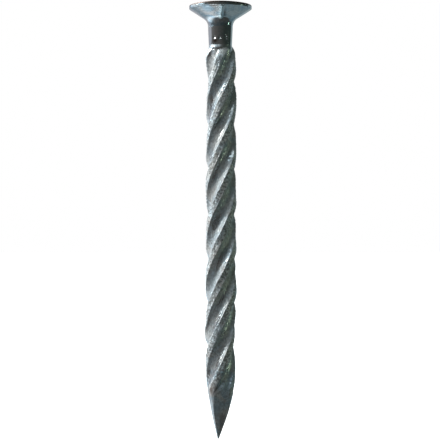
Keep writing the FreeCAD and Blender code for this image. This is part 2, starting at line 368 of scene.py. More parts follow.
def axis_shift(depth, bow, tip_shift):
    """How far the middle of the spike stands off the true axis in X: a slight bow of the shank that comes
    and goes in eased steps, and a tip that the pinching left to one side."""
    bowed = sum(share * ease(depth, low * MM, high * MM) for share, low, high in BOW_STEPS)
    lean = np.clip((depth - 67 * MM) / (8 * MM), 0, None) ** 1.3
    return bow * bowed - tip_shift * lean


# ---------------------------------------------------------------- the spike's surfaces


def spiral_turn(depth, shank):
    """Angle of a ridge at each depth: it grows evenly with height, one turn for each lead."""
    end = -POINT_BOX[0][2]
    even = shank.end_turn + (end - depth) / shank.lead * 2 * np.pi
    return even + np.radians(1.6) * np.sin(depth / (5.1 * MM)) * ease(depth, 9 * MM, 14 * MM)


def flute_angle(column):
    """Angle from the middle of the nearest flute, for an angle from a ridge."""
    step = 2 * np.pi / RIDGES
    return (column % step) - step / 2


def rolled_radius(column, depth, shank):
    """Radius of the rolled section: the crest's circle, cut by the circle of the flute.

    The flute's circle has its centre out on the line through the middle of the flute, at floor + radius.
    Along a ray at angle a from that line its near side is D cos a - sqrt(radius^2 - (D sin a)^2).
    """
    away = shank.flute_floor + shank.flute_radius
    side = away * np.sin(flute_angle(column))
    reach = shank.flute_radius**2 - side**2
    near = away * np.cos(flute_angle(column)) - np.sqrt(np.clip(reach, 0, None))
    crest = shank.ridge_radius + 0.4 * shank.unevenness * swell(column, depth, 3, 6, 2.2 * MM)
    past_edge = np.clip(-reach, 0, None) / (0.2 * MM)
    return soft_least(crest, near + past_edge, 0.3 * MM)


def run_out_radius(depth):
    """Radius that the flutes' floors rise to at both ends of the spiral, as two eased ramps that stay under
    the floors between them."""
    top = 2.05 * MM - 0.9 * MM * ease(depth, 7.35 * MM, 10.6 * MM)
    low = 1.2 * MM + 1.45 * MM * ease(depth, 62.2 * MM, 68.2 * MM)
    halfway = 30 * MM
    return np.where(depth < halfway, top, low)


def neck_radius(angle, depth, neck):
    """Radius of the neck: a straight taper with a slight swell that fades out at the head."""
    top, end = -NECK_BOX[1][2], -NECK_BOX[0][2]
    share = (depth - top) / (end - top)
    taper = neck.top_radius + (neck.end_radius - neck.top_radius) * share
    drawn = 0.006 * MM * swell(angle, depth, 11, 3, 1.2 * MM)
    return taper + drawn * ease(depth, top, top + 0.6 * MM)


def marked(radius, angle, depth, neck):
    """Takes the gripper's marks off a radius."""
    tooth_bite, notch_bite = 1.5, 2.2
    pressed = tooth_bite * tooth_marks(angle, depth) + notch_bite * gripper_notch(angle, depth)
    return radius - neck.mark_bite * pressed


# The shoulders start this much lower at the front, and are this long on the right and this much longer on
# the left.
SHOULDER_DROP = 0.95 * MM
SHOULDER_LENGTH = 2.5 * MM
SHOULDER_EXTRA = 1.2 * MM


def shoulder_radius(angle, depth, neck, shank):
    """Outer radius of the ridge shoulders: a parabola that leaves the neck at a slope and meets the crests
    level. It starts lower at the front, where the rollers bit later, and is longer on the left."""
    late = (0.5 + 0.5 * np.cos(angle + np.radians(112))) ** 3
    start = -SHANK_BOX[1][2] + SHOULDER_DROP * late
    length = SHOULDER_LENGTH + SHOULDER_EXTRA * (1 - np.cos(angle)) / 2
    share = np.clip((depth - start) / length, 0, 1)
    return neck.end_radius + (shank.ridge_radius + 0.2 * MM - neck.end_radius) * share * (2 - share)


# The arrises of the point: their radius where the point begins, and the circle that they follow.
ARRIS_START = 2.75 * MM
ARRIS_ARC = 29.0 * MM


def point_form_radius(angle, depth, point):
    """Radius of the pinched form: four flats that curve in and then run straight, with round arrises.

    A flat at distance f from the axis gives f / cos(angle from the middle of the flat). The arrises are
    an arc of one circle that starts level at the top of the point.
    """
    top, end = -POINT_BOX[1][2], -POINT_BOX[0][2]
    below = np.clip(depth - top, 0, None)
    run = point.facet_middle_depth - top
    slope = (point.facet_middle - point.tip_radius) / (end - point.facet_middle_depth)
    fullness = 1.82
    bulge = point.facet_start - (point.facet_start - point.facet_middle) * (below / run) ** fullness
    straight = point.facet_middle - slope * (depth - point.facet_middle_depth)
    flat = np.where(depth < point.facet_middle_depth, bulge, straight)
    turned = (angle - point.facet_turn + np.pi / 4) % (np.pi / 2) - np.pi / 4
    arris = ARRIS_START - (ARRIS_ARC - np.sqrt(ARRIS_ARC**2 - below**2))
    drawn_in = 1 - 0.11 * ease(depth, top, top + 6 * MM)
    return soft_least(drawn_in * flat / np.cos(turned), arris, 0.12 * MM)


def crest_share(column):
    """1 on the crests, 0 in the flutes."""
    return ease(np.abs(flute_angle(column)), np.radians(27), np.radians(36))


def burr_share(column, depth):
    """Beads along both edges of the crests, from 0 to 1, in patches and at uneven spacing."""
    off_edge = np.abs(flute_angle(column)) - np.radians(33)
    wander = swell(column, depth, 21, 5, 0.8 * MM)
    beads = 0.5 + 0.5 * np.cos(depth / (0.068 * MM) + 2.6 * wander)
    patches = ease(swell(column, depth, 22, 5, 2.4 * MM), -0.6, 0.6)
    return bell(off_edge, np.radians(3.2)) * beads * patches


def shank_radius(column, depth, shank, neck):
    """Radius of the spiral shank, column being the angle from a ridge.

    It is the rolled section, no deeper than the flutes' rising floors and no further out than the
    shoulders, with low swells, beads along the crests and the gripper's marks.
    """
    angle = column + spiral_turn(depth, shank)
    radius = soft_most(rolled_radius(column, depth, shank), run_out_radius(depth), 0.25 * MM)
    fade = ease(depth, 7.2 * MM, 9.5 * MM)
    radius = radius + shank.unevenness * 0.8 * swell(column, depth, 5, 7, 1.3 * MM) * fade
    radius = radius + shank.unevenness * 0.6 * swell(column, depth, 6, 40, 0.07 * MM, 40) * fade
    radius = radius + side_swells(angle, depth)
    radius = radius + shank.burr * burr_share(column, depth) * fade
    start = -SHANK_BOX[1][2]
    radius = soft_least(radius, shoulder_radius(angle, depth, neck, shank), 0.08 * MM)
    joined = neck_radius(angle, depth, neck)
    radius = joined + (radius - joined) * ease(depth, start, start + 0.35 * MM)
    return marked(radius, angle, depth, neck)


def point_radius(column, depth, shank, neck, point):
    """Radius of the point: the shank, held within the pinched form. column is the angle from where a ridge
    stands at the joint with the shank."""
    top = -POINT_BOX[1][2]
    angle = column + spiral_turn(np.full_like(depth, top), shank)
    ridge_column = angle - spiral_turn(depth, shank)
    radius = shank_radius(ridge_column, depth, shank, neck)
    form = point_form_radius(angle, depth, point)
    form = form + 0.03 * MM * swell(angle, depth, 31, 4, 1.6 * MM) * ease(depth, 64 * MM, 67 * MM)
    fade = ease(depth, top, top + 0.6 * MM)
    pinched = soft_least(radius, form, 0.2 * MM)
    return radius + (pinched - radius) * fade


def head_profile(head, neck):
    """Half section of the head from the middle of its top to the neck, as arrays of radius and depth.

    It runs along the flat top, round the rim's upper edge, down the rim, round its lower edge, along the
    cone of the seat, and round the hollow blend into the neck. Each round is an arc that touches the
    straight runs on both sides of it.
    """
    corner = [
        (0.0, 0.0),
        (head.rim_radius, 0.0),
        (head.rim_radius, head.rim_depth),
        (neck.top_radius, head.seat_depth),
        (neck.top_radius, -HEAD_BOX[0][2]),
    ]
    corner = np.array(corner)
    rounding = [0, head.rim_rounding, head.rim_rounding, head.seat_blend, 0]
    arc_points = [0, 10, 10, 26, 0]
    run_points = [26, 5, 30, 3]
    path = [corner[0]]
    for number in range(1, len(corner)):
        start, end = path[-1], corner[number]
        if arc_points[number]:
            onward = corner[number + 1] - end
            arc = corner_arc(start, end, onward, rounding[number], arc_points[number])
            path.extend(np.linspace(start, arc[0], run_points[number - 1] + 1)[1:])
            path.extend(arc[1:])
        else:
            path.extend(np.linspace(start, end, run_points[number - 1] + 1)[1:])
    return np.array(path)


def corner_arc(start, corner, onward, radius, count):
    """Points on the arc that touches the line from start to corner and the line onward from corner."""
    into = (corner - start) / np.linalg.norm(corner - start)
    out = onward / np.linalg.norm(onward)
    half_turn = math.acos(np.clip(into @ out, -1, 1)) / 2
    touch = radius * math.tan(half_turn)
    first, last = corner - into * touch, corner + out * touch
    side = (out - into) / np.linalg.norm(out - into)
    centre = corner + side * radius / math.cos(half_turn)
    share = np.linspace(0, 1, count + 1)[:, None]
    total = 2 * half_turn
    spoke = np.sin((1 - share) * total) * (first - centre) + np.sin(share * total) * (last - centre)
    return centre + spoke / math.sin(total)


# Heights of the small forms on the head: the fin and the ripple on the seat, the fold under the rim, and
# how uneven and how low the face is.
FIN_HEIGHT = 0.17 * MM
SEAT_RIPPLE = 0.012 * MM
FOLD_BITE = 0.16 * MM
FACE_DISH = 0.012 * MM
FACE_LOW = 0.014 * MM


def head_surface(head, neck):
    """Angle, radius and depth of the head's points: its half section turned once round, with an uneven rim,
    a low fin where the two halves of the gripper met, a fold under the rim, and a slightly uneven face."""
    profile = head_profile(head, neck)
    column = np.arange(AROUND) / AROUND * 2 * np.pi
    radius, angle = np.meshgrid(profile[:, 0], column, indexing="ij")
    depth = np.repeat(profile[:, 1:2], AROUND, axis=1)
    rim = ease(radius, head.rim_radius * 2 / 3, head.rim_radius)
    radius = radius + head.unevenness * rim * (swell(angle, depth * 0, 41, 5, MM) - 0.3)
    seat = ease(depth, 0.66 * MM, 0.9 * MM) * (1 - ease(depth, 2.3 * MM, 2.9 * MM))
    fin = parting_fin(turn_between(angle, PARTING) * radius)
    fin = fin + parting_fin(turn_between(angle, PARTING + np.pi) * radius)
    ripple = SEAT_RIPPLE * swell(angle, radius, 43, 9, 1.1 * MM)
    radius = radius + seat * (FIN_HEIGHT * fin + ripple)
    front = bell(turn_between(angle, np.radians(-105)), 0.17)
    back = bell(turn_between(angle, np.radians(70)), 0.2)
    under_rim = bell(depth - 0.76 * MM, 0.07 * MM)
    radius = radius - FOLD_BITE * (front + back) * under_rim
    top = 1 - ease(depth, 0, 0.1 * MM)
    dish = FACE_DISH * swell(angle, radius, 44, 4, 1.3 * MM) * top * ease(radius, 0, 1.5 * MM)
    depth = depth + np.clip(dish + FACE_LOW * top, 0, None)
    return angle, radius, depth


def parting_fin(across):
    """The low fin where the two halves of the gripper met: it rises slowly from the left, and falls off
    quickly on the right."""
    return np.where(across < 0, bell(across, 0.5 * MM), bell(across, 0.12 * MM))


# ---------------------------------------------------------------- meshes


def shell_mesh(name, points, top_cap):
    """A closed mesh from a grid of points, rows down the spike and columns round it.

    Rows run down and columns run anticlockwise seen from above, so each quad (this row, next row, next
    column, this column) faces outwards. A fan of triangles about the middle of its ring closes each end.
    A flat end keeps a sharp edge; top_cap is "flat", or "pole" where the top is a smooth face.
    """
    rows, columns = points.shape[:2]
    middle = [points[0].mean(0), points[-1].mean(0)]
    vertices = np.concatenate([points.reshape(-1, 3), middle]).astype(np.float32)
    row, column = np.meshgrid(np.arange(rows - 1), np.arange(columns), indexing="ij")
    this, following = row * columns + column, row * columns + (column + 1) % columns
    quads = np.stack([this, this + columns, following + columns, following], -1).reshape(-1, 4)
    ring = np.arange(columns)
    onward = (ring + 1) % columns
    last = (rows - 1) * columns
    top_fan = np.stack([np.full(columns, rows * columns), ring, onward], -1)
    end_fan = np.stack([np.full(columns, rows * columns + 1), last + onward, last + ring], -1)
    loops = np.concatenate([quads.ravel(), top_fan.ravel(), end_fan.ravel()])
    sizes = np.concatenate([np.full(len(quads), 4), np.full(2 * columns, 3)])
    starts = np.concatenate([[0], np.cumsum(sizes)[:-1]])

    mesh = bpy.data.meshes.new(name)
    mesh.vertices.add(len(vertices))
    mesh.vertices.foreach_set("co", vertices.ravel())
    mesh.loops.add(len(loops))
    mesh.loops.foreach_set("vertex_index", loops.astype(np.int32))
    mesh.polygons.add(len(starts))
    mesh.polygons.foreach_set("loop_start", starts.astype(np.int32))
    smooth = np.ones(len(starts), dtype=bool)
    smooth[len(quads) : len(quads) + columns] = top_cap == "pole"
    smooth[len(quads) + columns :] = False
    mesh.polygons.foreach_set("use_smooth", smooth)
    mesh.update(calc_edges=True)
    ends = np.empty(2 * len(mesh.edges), dtype=np.int32)
    mesh.edges.foreach_get("vertices", ends)
    ends = ends.reshape(-1, 2)
    on_top = (ends < columns).all(1) & (top_cap == "flat")
    on_end = (ends >= last).all(1) & (ends < rows * columns).all(1)
    mesh.edges.foreach_set("use_edge_sharp", on_top | on_end)
    if mesh.validate():
        raise RuntimeError(f"the mesh of {name} isn't sound")
    return mesh


def surface_points(angle, radius, depth, scene):
    """Angle, radius and depth as points, with the middle of each ring on the spike's slightly bowed line."""
    shift = axis_shift(depth, scene.spike_shank.bow, scene.spike_point.tip_shift)
    across = radius * np.cos(angle) + shift
    return np.stack([across, radius * np.sin(angle), -depth], -1)


def add_values(mesh, name, values, middles=0.0):
    """Stores a value for each vertex of the grid, and one for the middles of the end caps."""
    attribute = mesh.attributes.new(name, "FLOAT", "POINT")
    flat = np.concatenate([values.ravel(), np.full(2, middles)])
    attribute.data.foreach_set("value", flat.astype(np.float32))


def add_grain_space(mesh, column, radius, depth):
    """Stores the coordinates that the drawing lines follow: columns become straight lines along depth, so
    a pattern that is long in depth runs along the ridges."""
    space = np.stack([radius * np.cos(column), radius * np.sin(column), depth], -1)
    flat = np.concatenate([space.reshape(-1, 3), [[0, 0, depth[0, 0]], [0, 0, depth[-1, 0]]]])
    attribute = mesh.attributes.new("grain_space", "FLOAT_VECTOR", "POINT")
    attribute.data.foreach_set("vector", flat.astype(np.float32).ravel())


def place_piece(name, mesh, material, node):
    """Puts a finished mesh in the scene in place of a section of the packed model."""
    mesh.materials.append(material)
    piece = bpy.data.objects.new(name, mesh)
    bpy.context.scene.collection.objects.link(piece)
    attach(piece, BODY)
    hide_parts(node)


def section_grid(box, rows):
    """Depths and angles of a grid: rows evenly spaced down a section's box, columns round the spike."""
    column = np.arange(AROUND) / AROUND * 2 * np.pi
    return np.meshgrid(np.linspace(-box[1][2], -box[0][2], rows), column, indexing="ij")


# ---------------------------------------------------------------- shader groups


def new_group(name, inputs, outputs):
    """An empty shader node group. inputs and outputs are pairs of a name and a kind of socket, and an
    input can have a default."""
    group = bpy.data.node_groups.new(name, "ShaderNodeTree")
    for title, kind, *default in inputs:
        socket = group.interface.new_socket(title, in_out="INPUT", socket_type=f"NodeSocket{kind}")
        if default:
            socket.default_value = default[0]
    for title, kind in outputs:
        group.interface.new_socket(title, in_out="OUTPUT", socket_type=f"NodeSocket{kind}")
    enter = group.nodes.new("NodeGroupInput")
    leave = group.nodes.new("NodeGroupOutput")
    return group, enter, leave


def feed(tree, socket, value):
    """Links a socket to another socket, or sets it to a plain value."""
    if isinstance(value, bpy.types.NodeSocket):
        tree.links.new(value, socket)
    else:
        socket.default_value = value


def node(tree, kind, settings=None, **inputs):
    """A node with its settings. inputs are values or sockets, named after the node's inputs with _ for a
    space, or i and a number for an input that is known by its place."""
    made = tree.nodes.new(f"ShaderNode{kind}")
    for key, value in (settings or {}).items():
        setattr(made, key, value)
    for key, value in inputs.items():
        socket = made.inputs[int(key[1:])] if key[0] == "i" and key[1:].isdigit() else None
        feed(tree, socket or made.inputs[key.replace("_", " ")], value)
    return made


def maths(tree, operation, *values):
    """The result of a maths node on values or sockets."""
    inputs = {f"i{number}": value for number, value in enumerate(values)}
    return node(tree, "Math", {"operation": operation}, **inputs).outputs[0]


def mixed(tree, share, one, other):
    """The colour between one and other at share."""
    mix = node(tree, "Mix", {"data_type": "RGBA"})
    for place, value in ((0, share), (6, one), (7, other)):
        feed(tree, mix.inputs[place], value)
    return mix.outputs[2]


def ramped(tree, value, low, high, start=0.0, end=1.0):
    """A value eased from start to end as it goes from low to high."""
    ramp = node(tree, "MapRange", {"interpolation_type": "SMOOTHSTEP"})
    for socket, term in zip(ramp.inputs, (value, low, high, start, end)):
        feed(tree, socket, term)
    return ramp.outputs[0]


def noise(tree, vector, scale, detail=3.0, roughness=0.5, distortion=0.0):
    """The value of a noise texture."""
    made = node(
        tree,
        "TexNoise",
        Vector=vector,
        Scale=scale,
        Detail=detail,
        Roughness=roughness,
        Distortion=distortion,
    )
    return made.outputs["Fac"]


def build_zinc_tone():
    """Colour of zinc plate: clean plate, clouded with the blue of the passivation, dulled in warm patches,
    and flecked with lighter and darker crystals."""
    tree, enter, leave = new_group(
        "Zinc tone",
        [
            ("Vector", "Vector"),
            ("Plate", "Color"),
            ("Blue film", "Color"),
            ("Dull film", "Color"),
            ("Blue amount", "Float", 0.5),
            ("Dull amount", "Float", 0.3),
            ("Fleck amount", "Float", 0.3),
        ],
        [("Color", "Color")],
    )
    place = enter.outputs["Vector"]
    clouds = noise(tree, place, scale=420.0, detail=4.0, roughness=0.55, distortion=0.6)
    blue = ramped(tree, clouds, 0.38, 0.62)
    blue = maths(tree, "MULTIPLY", blue, enter.outputs["Blue amount"])
    dulled = noise(tree, place, scale=760.0, detail=5.0, roughness=0.6, distortion=0.3)
    dull = ramped(tree, dulled, 0.46, 0.68)
    dull = maths(tree, "MULTIPLY", dull, enter.outputs["Dull amount"])
    tone = mixed(tree, blue, enter.outputs["Plate"], enter.outputs["Blue film"])
    tone = mixed(tree, dull, tone, enter.outputs["Dull film"])
    flecks = noise(tree, place, scale=2600.0, detail=2.0)
    flecks = ramped(tree, flecks, 0.36, 0.64, -0.45, 0.45)
    flecks = maths(tree, "MULTIPLY", flecks, enter.outputs["Fleck amount"])
    shade = maths(tree, "ADD", flecks, 1.0)
    shaded = node(tree, "VectorMath", {"operation": "SCALE"}, i0=tone, Scale=shade)
    tree.links.new(shaded.outputs[0], leave.inputs["Color"])
    return tree


def build_drawn_grain():
    """Drawing and rolling lines: noise that is long in one direction, as a height and as a share."""
    tree, enter, leave = new_group(
        "Drawn grain",
        [("Vector", "Vector"), ("Fineness", "Float", 5000.0), ("Stretch", "Float", 0.06)],
        [("Height", "Float"), ("Share", "Float")],
    )
    stretch = node(tree, "CombineXYZ", X=1.0, Y=1.0, Z=enter.outputs["Stretch"])
    scaled = {"i0": enter.outputs["Vector"], "i1": stretch.outputs[0]}
    vector = node(tree, "VectorMath", {"operation": "MULTIPLY"}, **scaled).outputs[0]
    lines = noise(tree, vector, enter.outputs["Fineness"], roughness=0.6)
    broad = noise(tree, vector, scale=1500.0, detail=2.0)
    tree.links.new(lines, leave.inputs["Height"])
    tree.links.new(ramped(tree, broad, 0.35, 0.65), leave.inputs["Share"])
    return tree


def build_pitting():
    """Pits in the plate: the middles of cells, kept where a coarser noise is high."""
    tree, enter, leave = new_group(
        "Pitting",
        [("Vector", "Vector"), ("Scale", "Float", 2700.0), ("Amount", "Float", 0.5)],
        [("Mask", "Float")],
    )
    place, scale = enter.outputs["Vector"], enter.outputs["Scale"]
    cells = node(tree, "TexVoronoi", {"feature": "F1"}, Vector=place, Scale=scale)
    pits = ramped(tree, cells.outputs["Distance"], 0.42, 0.12)
    where = noise(tree, place, scale=1300.0, roughness=0.6)
    limit = maths(tree, "SUBTRACT", 0.78, maths(tree, "MULTIPLY", enter.outputs["Amount"], 0.4))
    kept = ramped(tree, where, limit, maths(tree, "ADD", limit, 0.08))
    tree.links.new(maths(tree, "MULTIPLY", pits, kept), leave.inputs["Mask"])
    return tree


def group_node(tree, group, **inputs):
    """A node that places a group, with its inputs set or linked."""
    made = tree.nodes.new("ShaderNodeGroup")
    made.node_tree = group
    for key, value in inputs.items():
        feed(tree, made.inputs[key.replace("_", " ")], value)
    return made


def shared_groups():
    """The shader groups, built once."""
    builders = {
        "Zinc tone": build_zinc_tone,
        "Drawn grain": build_drawn_grain,
        "Pitting": build_pitting,
    }
    return {name: bpy.data.node_groups.get(name) or build() for name, build in builders.items()}


def opaque(colour):
    """A colour property as red, green, blue and 1."""
    return (*colour, 1.0)


# Finish of each section. smooth and rough are its roughness where the mesh value "worn" is 0 and 1, grain
# the depth of the drawing lines, pits the amount of pitting on worn metal, blue and dull the amounts of the
# two films, and metallic how metallic worn metal is; unworn metal is wholly so.
SECTION_FINISHES = {
    "zinc_on_forged_head": {
        "smooth": 0.13, "rough": 0.32, "grain": 0.002 * MM, "pits": 0.5,
        "blue": 1.0, "dull": 0.25, "metallic": 1.0,
    },
    "zinc_on_drawn_neck": {
        "smooth": 0.09, "rough": 0.35, "grain": 0.0015 * MM, "pits": 0.3,
        "blue": 0.3, "dull": 0.6, "metallic": 1.0,
    },
    "zinc_on_rolled_shank": {
        "smooth": 0.28, "rough": 0.50, "grain": 0.004 * MM, "pits": 0.9,
        "blue": 0.45, "dull": 0.5, "metallic": 0.28,
    },
    "zinc_on_pinched_point": {
        "smooth": 0.26, "rough": 0.46, "grain": 0.004 * MM, "pits": 0.7,
        "blue": 0.8, "dull": 0.4, "metallic": 0.35,
    },
}

# Depths of the small relief on worn metal.
PIT_DEPTH = 0.02 * MM
FINE_BUMPS = 0.012 * MM
HAMMERED_BUMPS = 0.06 * MM


def zinc_material(name, finish):
    """Zinc plate on steel, with the values of its row in SECTION_FINISHES. One mesh value is 1 where a bright
    cyan highlight is painted along the seat's parting fin, and another is 1 where the dark colour goes:
    stains by the tooth marks and where the flutes run out, and painted shade round the rim's top edge."""
    own = SECTION_FINISHES[name]
    metallic = own["metallic"]
    groups = shared_groups()
    material = bpy.data.materials.new(name)
    material.use_nodes = True
    tree = material.node_tree
    shader = tree.nodes["Principled BSDF"]
    place = node(tree, "TexCoord").outputs["Object"]
    along = node(tree, "Attribute", {"attribute_name": "grain_space"}).outputs["Vector"]
    worn, painted_highlight, stain_and_shade = (
        node(tree, "Attribute", {"attribute_name": title}).outputs["Fac"]
        for title in ("worn", "painted_highlight", "stain_and_shade")
    )
    if metallic < 1:
        tree.links.new(ramped(tree, worn, 0.15, 0.24, 1.0, metallic), shader.inputs["Metallic"])
    else:
        shader.inputs["Metallic"].default_value = metallic

    tone = group_node(
        tree,
        groups["Zinc tone"],
        Vector=place,
        Plate=opaque(finish.zinc),
        Blue_film=opaque(finish.blue),
        Dull_film=opaque(finish.warm),
        Blue_amount=own["blue"],
        Dull_amount=maths(tree, "MULTIPLY", worn, own["dull"]),
        Fleck_amount=worn,
    )
    lines = group_node(tree, groups["Drawn grain"], Vector=along)
    pitted = maths(tree, "MULTIPLY", worn, own["pits"])
    pitting = group_node(tree, groups["Pitting"], Vector=place, Amount=pitted)

    # Paints the highlight along the parting fin, then the dark colour of the stains and of the painted shade
    # round the rim.
    toned = mixed(tree, painted_highlight, tone.outputs["Color"], opaque(finish.painted_highlight))
    mask = maths(tree, "MULTIPLY", pitting.outputs["Mask"], pitted)
    toned = mixed(tree, stain_and_shade, toned, opaque(finish.stain_and_shade_colour))
    colour = mixed(tree, mask, toned, opaque(finish.pit))
    tree.links.new(colour, shader.inputs["Base Color"])

    base = ramped(tree, worn, 0.0, 1.0, own["smooth"], own["rough"])
    spread = maths(tree, "MULTIPLY", maths(tree, "SUBTRACT", lines.outputs["Share"], 0.5), 0.35)
    varied = maths(tree, "MULTIPLY", base, maths(tree, "ADD", spread, 1.0))
    varied = maths(tree, "ADD", varied, maths(tree, "MULTIPLY", mask, 0.2))
    tree.links.new(varied, shader.inputs["Roughness"])

    height = maths(tree, "MULTIPLY", lines.outputs["Height"], own["grain"])
    height = maths(tree, "SUBTRACT", height, maths(tree, "MULTIPLY", mask, PIT_DEPTH))
    for scale, relief in ((9000.0, FINE_BUMPS), (3100.0, HAMMERED_BUMPS)):
        bumps = noise(tree, place, scale, roughness=0.6)
        bumps = maths(tree, "MULTIPLY", bumps, maths(tree, "MULTIPLY", worn, relief))
        height = maths(tree, "ADD", height, bumps)
    bump = node(tree, "Bump", Strength=1.0, Distance=1.0, Height=height)
    tree.links.new(bump.outputs["Normal"], shader.inputs["Normal"])
    return material


# ---------------------------------------------------------------- operators


class SPIKE_OT_head(bpy.types.Operator):
    """Make the flat countersunk head with its hollow blend"""

    bl_idname = "spike.head"
    bl_label = "Head"

    def execute(self, context):
        scene = context.scene
        angle, radius, depth = head_surface(scene.spike_head, scene.spike_neck)
        points = surface_points(angle, radius, depth, scene)
        mesh = shell_mesh("head_forged", points[1:], "pole")
        edge = bell(radius - 5.35 * MM, 0.12 * MM)
        worn = np.clip(0.2 + 0.25 * edge + 0.12 * swell(angle, depth, 51, 6, 0.7 * MM), 0, 1)
        add_values(mesh, "worn", worn[1:], 0.3)
        # Painted highlight: a bright cyan band down the seat, mostly on the left of the parting fin.
        highlight_band = parting_fin(turn_between(angle, PARTING) * radius + 0.1 * MM)
        highlight_band = highlight_band * ease(depth, 0.62 * MM, 0.7 * MM) * (1 - ease(depth, 2.4 * MM, 2.9 * MM))
        add_values(mesh, "painted_highlight", highlight_band[1:])
        # Painted shade: the dark colour round the rim's top edge and the outer edge of the face.
        rim_shade = (1 - ease(depth, 0.16 * MM, 0.4 * MM)) * ease(radius, 5.0 * MM, 5.25 * MM)
        add_values(mesh, "stain_and_shade", 0.95 * rim_shade[1:])
        add_grain_space(mesh, angle[1:], radius[1:], depth[1:])
        material = zinc_material("zinc_on_forged_head", scene.spike_finish)
        place_piece("head_forged", mesh, material, "head")
        return {"FINISHED"}


class SPIKE_OT_neck(bpy.types.Operator):
    """Make the plain neck with its gripper marks"""

    bl_idname = "spike.neck"
    bl_label = "Neck"

    def execute(self, context):
        scene = context.scene
        depth, angle = section_grid(NECK_BOX, 56)
        radius = marked(neck_radius(angle, depth, scene.spike_neck), angle, depth, scene.spike_neck)
        points = surface_points(angle, radius, depth, scene)
        mesh = shell_mesh("neck_drawn", points, "flat")
        worn = 0.12 + 0.1 * swell(angle, depth, 52, 4, 0.8 * MM)
        add_values(mesh, "worn", np.clip(worn, 0, 1))
        add_values(mesh, "stain_and_shade", gripper_stain(angle, depth))
        add_grain_space(mesh, angle, radius, depth)
        material = zinc_material("zinc_on_drawn_neck", scene.spike_finish)
        place_piece("neck_drawn", mesh, material, "neck")
        return {"FINISHED"}


class SPIKE_OT_shank(bpy.types.Operator):
    """Make the spiral shank with four ridges and four flutes"""

    bl_idname = "spike.shank"
    bl_label = "Spiral shank"

    def execute(self, context):
        scene = context.scene
        shank, neck = scene.spike_shank, scene.spike_neck
        depth, column = section_grid(SHANK_BOX, 440)
        radius = shank_radius(column, depth, shank, neck)
        angle = column + spiral_turn(depth, shank)
        points = surface_points(angle, radius, depth, scene)
        mesh = shell_mesh("spiral_shank_rolled", points, "flat")
        worn = worn_shank(column, depth)
        add_values(mesh, "worn", worn)
        add_values(mesh, "stain_and_shade", gripper_stain(angle, depth))
        add_grain_space(mesh, column, radius, depth)
        material = zinc_material("zinc_on_rolled_shank", scene.spike_finish)
        place_piece("spiral_shank_rolled", mesh, material, "spiral_shank")
        return {"FINISHED"}


def worn_shank(column, depth):
    """How rough the rolled metal is: high on the crests, low in the flutes, and cloudy everywhere."""
    clouds = 0.22 * swell(column, depth, 53, 8, 0.8 * MM)
    fade = ease(depth, 7.2 * MM, 9.0 * MM)
    return np.clip((0.3 + 0.6 * crest_share(column) + clouds) * fade + 0.15 * (1 - fade), 0, 1)


class SPIKE_OT_point(bpy.types.Operator):
    """Make the four-sided point"""

    bl_idname = "spike.point"
    bl_label = "Point"

    def execute(self, context):
        scene = context.scene
        shank, neck, point = scene.spike_shank, scene.spike_neck, scene.spike_point
        depth, column = section_grid(POINT_BOX, 130)
        radius = point_radius(column, depth, shank, neck, point)
        start = spiral_turn(np.full_like(depth, depth[0, 0]), shank)
        angle = column + start
        points = surface_points(angle, radius, depth, scene)
        mesh = shell_mesh("point_pinched", points, "flat")
        ridge_column = angle - spiral_turn(depth, shank)
        flat = ease(depth, 65 * MM, 68.5 * MM)
        worn = worn_shank(ridge_column, depth) * (1 - flat)
        worn = worn + flat * (0.3 + 0.12 * swell(angle, depth, 54, 5, 0.9 * MM))
        add_values(mesh, "worn", np.clip(worn, 0, 1), 0.5)
        add_values(mesh, "stain_and_shade", point_stain(angle, depth))
        add_grain_space(mesh, ridge_column, radius, depth)
        material = zinc_material("zinc_on_pinched_point", scene.spike_finish)
        place_piece("point_pinched", mesh, material, "point")
        return {"FINISHED"}


class SPIKE_OT_stage(bpy.types.Operator):
    """Set up the floor, the soft light and the camera"""

    bl_idname = "spike.stage"
    bl_label = "Stage"

    def execute(self, context):
        scene = context.scene
        stage = scene.spike_stage
        make_floor(scene, stage)
        make_world(scene)
        make_lights(scene, stage)
        make_camera(scene, stage)
        scene.view_settings.view_transform = "Standard"
        return {"FINISHED"}


def make_floor(scene, stage):
    """A wide floor at the end of the point, pale and lit from within a little, so that it stays pale. The
    metal doesn't mirror it: what it mirrors is the room."""
    half = 1.2
    clearance = 0.02 * MM
    ground = float(CAD_BOUNDS[0][2]) - clearance
    mesh = bpy.data.meshes.new("floor")
    corners = [(-half, -half, ground), (half, -half, ground), (half, half, ground), (-half, half, ground)]
    mesh.from_pydata(corners, [], [(0, 1, 2, 3)])
    material = bpy.data.materials.new("pale_floor")
    material.use_nodes = True
    tree = material.node_tree
    tree.nodes.clear()
    out = tree.nodes.new("ShaderNodeOutputMaterial")
    seen = node(tree, "LightPath").outputs["Is Camera Ray"]
    paint = node(tree, "BsdfDiffuse", Color=opaque(stage.floor_colour)).outputs[0]
    glow = node(tree, "Emission", Color=(1, 1, 1, 1), Strength=0.78).outputs[0]
    shown = node(tree, "AddShader", i0=paint, i1=glow).outputs[0]
    clear = node(tree, "BsdfTransparent").outputs[0]
    mix = node(tree, "MixShader", i0=seen, i1=clear, i2=shown)
    tree.links.new(mix.outputs[0], out.inputs["Surface"])
    mesh.materials.append(material)
    floor = bpy.data.objects.new("floor", mesh)
    scene.collection.objects.link(floor)


